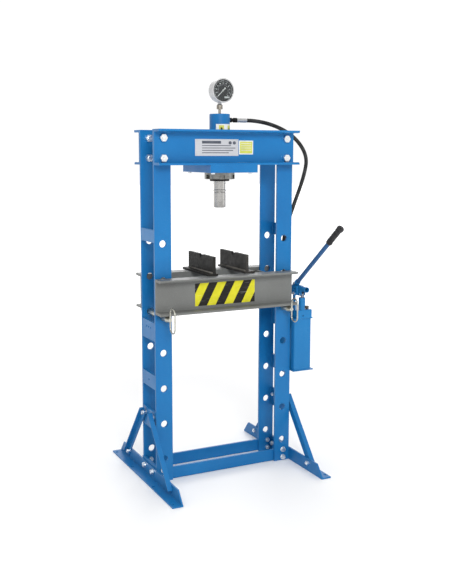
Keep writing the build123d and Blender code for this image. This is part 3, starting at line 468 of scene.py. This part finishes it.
def label(name, outlines, front, material, body):
    """One printed layer: several outlines whose outer faces lie at Y = front."""
    mesh = bmesh.new()
    for outline in outlines:
        prism(mesh, outline, front, INK_DEPTH)
    finish_piece(name, mesh, material, body)


def tube_ring(mesh, centre, normal, across, radius):
    """One ring of vertices around a centre."""
    up = normal.cross(across)
    return [
        mesh.verts.new(centre + radius * (across * math.cos(a) + up * math.sin(a)))
        for a in (2 * math.pi * i / BEAD_SIDES for i in range(BEAD_SIDES))
    ]


def bead(mesh, start, end, radius):
    """A weld bead: a rod whose thickness ripples along its length and tapers at its ends."""
    start, end = Vector(start), Vector(end)
    run = end - start
    normal = run.normalized()
    across = normal.orthogonal().normalized()
    count = max(4, int(run.length / BEAD_PITCH))
    rings = []
    for i in range(count + 1):
        ripple = 1.0 + RIPPLE * math.sin(i * RIPPLE_STEP) + random.uniform(-RIPPLE_NOISE, RIPPLE_NOISE)
        taper = BEAD_TAPER if i in (0, count) else 1.0
        rings.append(tube_ring(mesh, start + run * i / count, normal, across, radius * ripple * taper))
    for a, b in zip(rings, rings[1:]):
        for i in range(len(a)):
            j = (i + 1) % len(a)
            mesh.faces.new((a[i], a[j], b[j], b[i]))
    mesh.faces.new(list(reversed(rings[0])))
    mesh.faces.new(rings[-1])


def welds(name, runs, radius, material, body):
    """One piece that holds a bead for each run."""
    mesh = bmesh.new()
    for start, end in runs:
        bead(mesh, start, end, radius)
    finish_piece(name, mesh, material, body, smooth=True)


# ---- stickers and plates ----------------------------------------------------

BED_WEB = 0.007
HAZARD_X = (-0.143, 0.133)
HAZARD_HALF = 0.047
HAZARD_DROP = 0.003
BAND = 0.04
LEAN = 0.05
FIRST_BAND = -0.12
BANDS = 4


def hazard_sticker():
    """Black panel with leaning yellow bands, on the web of the front bed channel."""
    low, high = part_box("bed_front_channel")
    web = high.y - BED_WEB
    middle = (low.z + high.z) / 2 - HAZARD_DROP
    bottom = middle - HAZARD_HALF
    top = middle + HAZARD_HALF
    panel = rounded(*HAZARD_X, bottom, top, PANEL_CORNER)
    label("hazard_sticker", [panel], web - STICKER, BLACK_INK, "bed")
    bands = []
    for i in range(BANDS):
        x = FIRST_BAND + 2 * BAND * i
        outline = [(x, top), (x + BAND, top), (x + BAND - LEAN, bottom), (x - LEAN, bottom)]
        bands.append(cut(cut(outline, HAZARD_X[0], True), HAZARD_X[1], False))
    label("hazard_bands", bands, web - 2 * STICKER, YELLOW, "bed")


PLATE_THICK = 0.0008
BAR_SIZES = ((0.085, 0.011), (0.13, 0.003), (0.15, 0.003), (0.14, 0.003), (0.12, 0.003))
BAR_LEFT = 0.03
BAR_TOP = 0.018
BAR_STEP = 0.0095
DOT_RIGHT = 0.045
DOT_STEP = 0.019
DOT_WIDE = 0.014
DOT_TOP = 0.008
DOT_HIGH = 0.013
DOT_CORNER = 0.0055


def nameplate_print():
    """Blank bars and two dots on the nameplate."""
    low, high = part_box("nameplate")
    front = high.y - PLATE_THICK - STICKER
    left = low.x + BAR_LEFT
    bars = []
    for row, (length, height) in enumerate(BAR_SIZES):
        z = high.z - BAR_TOP - BAR_STEP * row
        bars.append(rounded(left, left + length, z, z + height, BAR_CORNER, 2))
    label("nameplate_bars", bars, front, GREY_INK, "frame")
    dots = []
    for i in range(2):
        x = high.x - DOT_RIGHT + DOT_STEP * i
        z = high.z - DOT_TOP - DOT_HIGH
        dots.append(rounded(x, x + DOT_WIDE, z, z + DOT_HIGH, DOT_CORNER))
    label("nameplate_dots", dots, front, GREY_INK, "frame")


LABEL_X = (0.057, 0.122)
LABEL_Z = (1.345, 1.401)
BORDER = 0.004
LINE_INSET = 0.009
LINE_TOP = 0.013
LINE_STEP = 0.009
LINE_HIGH = 0.002
LINES = 4


def head_label():
    """Lime panel with a white border and blank lines, on the web of the front head channel."""
    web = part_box("nameplate")[1].y
    x0, x1 = LABEL_X
    z0, z1 = LABEL_Z
    border = rounded(x0, x1, z0, z1, PANEL_CORNER)
    label("head_label_border", [border], web - STICKER, WHITE_INK, "frame")
    panel = rounded(x0 + BORDER, x1 - BORDER, z0 + BORDER, z1 - BORDER, BAR_CORNER)
    label("head_label", [panel], web - 2 * STICKER, LIME_INK, "frame")
    lines = []
    for i in range(LINES):
        z = z1 - LINE_TOP - LINE_STEP * i
        lines.append(rounded(x0 + LINE_INSET, x1 - LINE_INSET, z, z + LINE_HIGH, LINE_CORNER, 2))
    label("head_label_lines", lines, web - 3 * STICKER, PALE_INK, "frame")


hazard_sticker()
nameplate_print()
head_label()

# The label on the barrel: angles in degrees around the barrel's axis, and heights.
BARREL_R = 0.0425
WRAP = (-137, -22)
WRAP_Z = (1.425, 1.468)
WRAP_PANELS = ((-120, -90), (-66, -36))
WRAP_PANEL_Z = (1.437, 1.463)
WRAP_DASH_HALF = 5
WRAP_DASH_Z = (1.445, 1.454)
WRAP_LINE = (-128, -30)
WRAP_LINE_Z = (1.429, 1.432)
WRAP_STEPS = 24


def wrap_label(name, axis_x, angles, z_span, material, lift):
    """A label wrapped on the barrel between two angles, its outer face lifted off the paint."""
    mesh = bmesh.new()
    columns = []
    for i in range(WRAP_STEPS + 1):
        angle = math.radians(angles[0] + (angles[1] - angles[0]) * i / WRAP_STEPS)
        spot = (math.cos(angle), math.sin(angle))
        columns.append([
            mesh.verts.new((axis_x + r * spot[0], r * spot[1], z))
            for r in (BARREL_R + lift - STICKER, BARREL_R + lift)
            for z in z_span
        ])
    for a, b in zip(columns, columns[1:]):
        for i, j in ((0, 1), (1, 3), (3, 2), (2, 0)):
            mesh.faces.new((a[i], a[j], b[j], b[i]))
    for column in (columns[0], columns[-1]):
        mesh.faces.new([column[i] for i in (0, 1, 3, 2)])
    finish_piece(name, mesh, material, "frame", smooth=True)


def barrel_label():
    """White label with two plain lime panels, wrapped on the barrel above the head."""
    ram_low, ram_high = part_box("ram_rod")
    axis_x = (ram_low.x + ram_high.x) / 2
    wrap_label("barrel_label", axis_x, WRAP, WRAP_Z, WHITE_INK, STICKER)
    for i, angles in enumerate(WRAP_PANELS):
        wrap_label(f"barrel_panel_{i}", axis_x, angles, WRAP_PANEL_Z, LIME_INK, 2 * STICKER)
        middle = (angles[0] + angles[1]) / 2
        dash = (middle - WRAP_DASH_HALF, middle + WRAP_DASH_HALF)
        wrap_label(f"barrel_dash_{i}", axis_x, dash, WRAP_DASH_Z, BLACK_INK, 3 * STICKER)
    wrap_label("barrel_line", axis_x, WRAP_LINE, WRAP_LINE_Z, GREY_INK, 2 * STICKER)


barrel_label()


# ---- gauge dial -------------------------------------------------------------

DIAL_FRONT = -0.0318
SWEEP = 270.0
ZERO_MARK = 225.0
ARCS = 12
ARC_STEPS = 6
ARC_RADII = (0.0393, 0.0399)
PLAQUE_X = (0.006, 0.03)
PLAQUE_Z = (-0.031, -0.024)

bezel_low, bezel_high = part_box("gauge_bezel")
dial_centre = Vector(((bezel_low.x + bezel_high.x) / 2, (bezel_low.z + bezel_high.z) / 2))


def dial_direction(angle):
    """Unit vector from the dial's centre, at an angle clockwise from the lower left."""
    turn = math.radians(ZERO_MARK - angle)
    return Vector((math.cos(turn), math.sin(turn)))


def dial_bar(angle, inner, outer, width):
    """Outline of a radial mark."""
    along = dial_direction(angle)
    side = Vector((-along.y, along.x)) * width / 2
    near = dial_centre + along * inner
    far = dial_centre + along * outer
    return [tuple(point) for point in (near - side, far - side, far + side, near + side)]


def dial_scale(count, outer, fine, coarse, every):
    """Marks over the sweep. fine and coarse hold (inner radius, width), and every gives the coarse ones."""
    marks = []
    for i in range(count + 1):
        inner, width = fine if i % every else coarse
        marks.append(dial_bar(SWEEP * i / count, inner, outer, width))
    return marks


def dial_arc(inner, outer, start, end):
    """Outline of a thin arc."""
    points = []
    for radius, order in ((outer, range(ARC_STEPS + 1)), (inner, range(ARC_STEPS, -1, -1))):
        for i in order:
            points.append(tuple(dial_centre + radius * dial_direction(start + (end - start) * i / ARC_STEPS)))
    return points


def dial_print():
    """Two blank scales, a ring of blocks where the figures would be, an arc and a small plaque."""
    front = DIAL_FRONT - STICKER
    marks = dial_scale(60, outer=0.0395, fine=(0.0365, 0.0006), coarse=(0.0335, 0.0012), every=6)
    marks += dial_scale(50, outer=0.0245, fine=(0.0225, 0.0005), coarse=(0.02, 0.0005), every=10)
    marks += dial_scale(10, outer=0.0312, fine=(0.028, 0.0045), coarse=(0.028, 0.0045), every=1)
    label("dial_marks", marks, front, PALE_INK, "frame")
    arcs = [dial_arc(*ARC_RADII, SWEEP * i / ARCS, SWEEP * (i + 1) / ARCS) for i in range(ARCS)]
    label("dial_arcs", arcs, front, PALE_INK, "frame")
    x, z = dial_centre
    plaque = rounded(x + PLAQUE_X[0], x + PLAQUE_X[1], z + PLAQUE_Z[0], z + PLAQUE_Z[1], BAR_CORNER, 2)
    label("dial_plaque", [plaque], front, WHITE_INK, "frame")


dial_print()


# ---- weld beads -------------------------------------------------------------

BATTEN_SPANS = ((0.215, 0.295), (0.391, 0.451), (0.593, 0.67), (0.995, 1.047))
BATTEN_BEAD = 0.0032
BATTEN_END = 0.004
BATTEN_EDGE = 0.0005
VEE_FACES = {"left": (-0.0515, -0.0645), "right": (0.0925, 0.1055)}
VEE_BEAD = 0.0042
VEE_END = 0.01
VEE_FOOT = 0.0095
PIN_BEAD = 0.0018
PIN_WELD_X = 0.0032
PIN_WELD_Y = 0.0015
PIN_WELD_HALF = 0.006


def batten_welds():
    """Beads in the inner corners between the battens and the flat bars."""
    runs = []
    for side in ("left", "right"):
        low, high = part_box(f"{side}_battens")
        x = high.x if side == "left" else low.x
        for z0, z1 in BATTEN_SPANS:
            for y in (low.y + BATTEN_EDGE, high.y - BATTEN_EDGE):
                runs.append(((x, y, z0 + BATTEN_END), (x, y, z1 - BATTEN_END)))
    welds("batten_welds", runs, BATTEN_BEAD, BLUE, "frame")


def v_block_weld(side):
    """Beads along both faces of the upright plate, where it stands on its base."""
    low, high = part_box(f"{side}_v_block")
    z = low.z + VEE_FOOT
    runs = [((x, low.y + VEE_END, z), (x, high.y - VEE_END, z)) for x in VEE_FACES[side]]
    welds(f"{side}_v_block_weld", runs, VEE_BEAD, WELD, f"{side}_v_block")


def pin_weld(side):
    """Two short beads that hold the wire handle on the pin's front end."""
    low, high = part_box(f"{side}_pin")
    x = (low.x + high.x) / 2
    y = low.y + PIN_WELD_Y
    z = (low.z + high.z) / 2
    runs = []
    for bead_x in (x - PIN_WELD_X, x + PIN_WELD_X):
        runs.append(((bead_x, y, z - PIN_WELD_HALF), (bead_x, y, z + PIN_WELD_HALF)))
    welds(f"{side}_pin_weld", runs, PIN_BEAD, ZINC, f"{side}_pin")


batten_welds()
for side in ("left", "right"):
    v_block_weld(side)
for side in ("left", "right"):
    pin_weld(side)


# ---- hose -------------------------------------------------------------------

HOSE_RADIUS = 0.0083
HOSE_ROUTE = [
    (0.134, 0.0, 1.486),
    (0.215, 0.0, 1.486),
    (0.36, 0.003, 1.434),
    (0.443, 0.008, 1.343),
    (0.43, 0.013, 1.25),
    (0.379, 0.017, 1.12),
    (0.332, 0.02, 0.99),
    (0.334, 0.022, 0.862),
    (0.345, 0.022, 0.768),
    (0.345, 0.022, 0.712),
]


def make_hose():
    """The hose as one bevelled curve, in place of the CAD's plain one."""
    curve = bpy.data.curves.new("hose_line", "CURVE")
    curve.dimensions = "3D"
    curve.resolution_u = 24
    curve.bevel_depth = HOSE_RADIUS
    curve.bevel_resolution = 6
    curve.use_fill_caps = True
    spline = curve.splines.new("NURBS")
    spline.points.add(len(HOSE_ROUTE) - 1)
    for point, place_at in zip(spline.points, HOSE_ROUTE):
        point.co = (*place_at, 1.0)
    spline.order_u = 3
    spline.use_endpoint_u = True
    piece = bpy.data.objects.new("hose_line", curve)
    bpy.context.scene.collection.objects.link(piece)
    curve.materials.append(HOSE)
    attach(piece, "frame")
    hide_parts("hose")


make_hose()


# ---- stage ------------------------------------------------------------------

FLOOR_HALF = 30.0
FRONT_LEVEL = 0.33
BACK_LEVEL = 1.04
MIDDLE = (0.0, 0.0, 0.85)


def make_floor():
    """A grid far wider than the view."""
    mesh = bmesh.new()
    bmesh.ops.create_grid(mesh, x_segments=8, y_segments=8, size=FLOOR_HALF)
    data = bpy.data.meshes.new("floor")
    mesh.to_mesh(data)
    mesh.free()
    data.materials.append(floor_paint("floor_paint"))
    piece = bpy.data.objects.new("floor", data)
    bpy.context.scene.collection.objects.link(piece)
    return piece


def area_light(name, place_at, size, power):
    """A rectangular softbox that faces the middle of the press."""
    data = bpy.data.lights.new(name, "AREA")
    data.shape = "RECTANGLE"
    data.size, data.size_y = size
    data.energy = power
    lamp = bpy.data.objects.new(name, data)
    bpy.context.scene.collection.objects.link(lamp)
    lamp.location = place_at
    lamp.rotation_euler = (Vector(MIDDLE) - Vector(place_at)).to_track_quat("-Z", "Y").to_euler()
    return lamp


def make_world():
    """White surroundings, dimmer in front of the press than behind and above it, with a white horizon."""
    world = bpy.data.worlds.new("studio")
    world.use_nodes = True
    tree = world.node_tree
    background = tree.nodes["Background"]
    background.inputs["Strength"].default_value = 1.0
    source = tree.nodes.new("ShaderNodeTexCoord")
    split = tree.nodes.new("ShaderNodeSeparateXYZ")
    tree.links.new(source.outputs["Generated"], split.inputs["Vector"])
    behind = remap(tree, split.outputs["Y"], 0.4, 0.7, FRONT_LEVEL, BACK_LEVEL)
    overhead = remap(tree, split.outputs["Z"], 0.3, 0.9, FRONT_LEVEL, BACK_LEVEL)
    horizon = remap(tree, split.outputs["Z"], 0.0, 0.1, BACK_LEVEL, FRONT_LEVEL)
    level = math_node(tree, "MAXIMUM", math_node(tree, "MAXIMUM", behind, overhead), horizon)
    shade = tree.nodes.new("ShaderNodeCombineColor")
    for socket in shade.inputs:
        tree.links.new(level, socket)
    tree.links.new(shade.outputs["Color"], background.inputs["Color"])
    bpy.context.scene.world = world


make_floor()
area_light("key", (-1.2, -4.4, 3.0), (1.8, 1.4), 135.0)
area_light("fill", (3.6, -2.0, 1.6), (1.6, 2.4), 8.0)
area_light("rim", (1.5, 3.4, 2.8), (2.4, 1.6), 40.0)
make_world()
bpy.context.scene.view_settings.view_transform = "Standard"

CAMERA_AT = Vector((-1.5483, -3.2156, 1.3521))
LOOK_AT = Vector((0.0465, 0.0, 0.8248))
ROLL = math.radians(0.11)
LENS = 52.4
SENSOR = 36.0
SHIFT = (-0.0021, -0.0248)


def make_camera():
    """The view of the photo."""
    data = bpy.data.cameras.new("camera")
    data.lens = LENS
    data.sensor_width = SENSOR
    data.shift_x, data.shift_y = SHIFT
    camera = bpy.data.objects.new("camera", data)
    bpy.context.scene.collection.objects.link(camera)
    camera.location = CAMERA_AT
    aim = (LOOK_AT - CAMERA_AT).to_track_quat("-Z", "Y")
    camera.rotation_euler = (aim.to_matrix() @ Matrix.Rotation(ROLL, 3, "Z")).to_euler()
    return camera


bpy.context.scene.camera = make_camera()
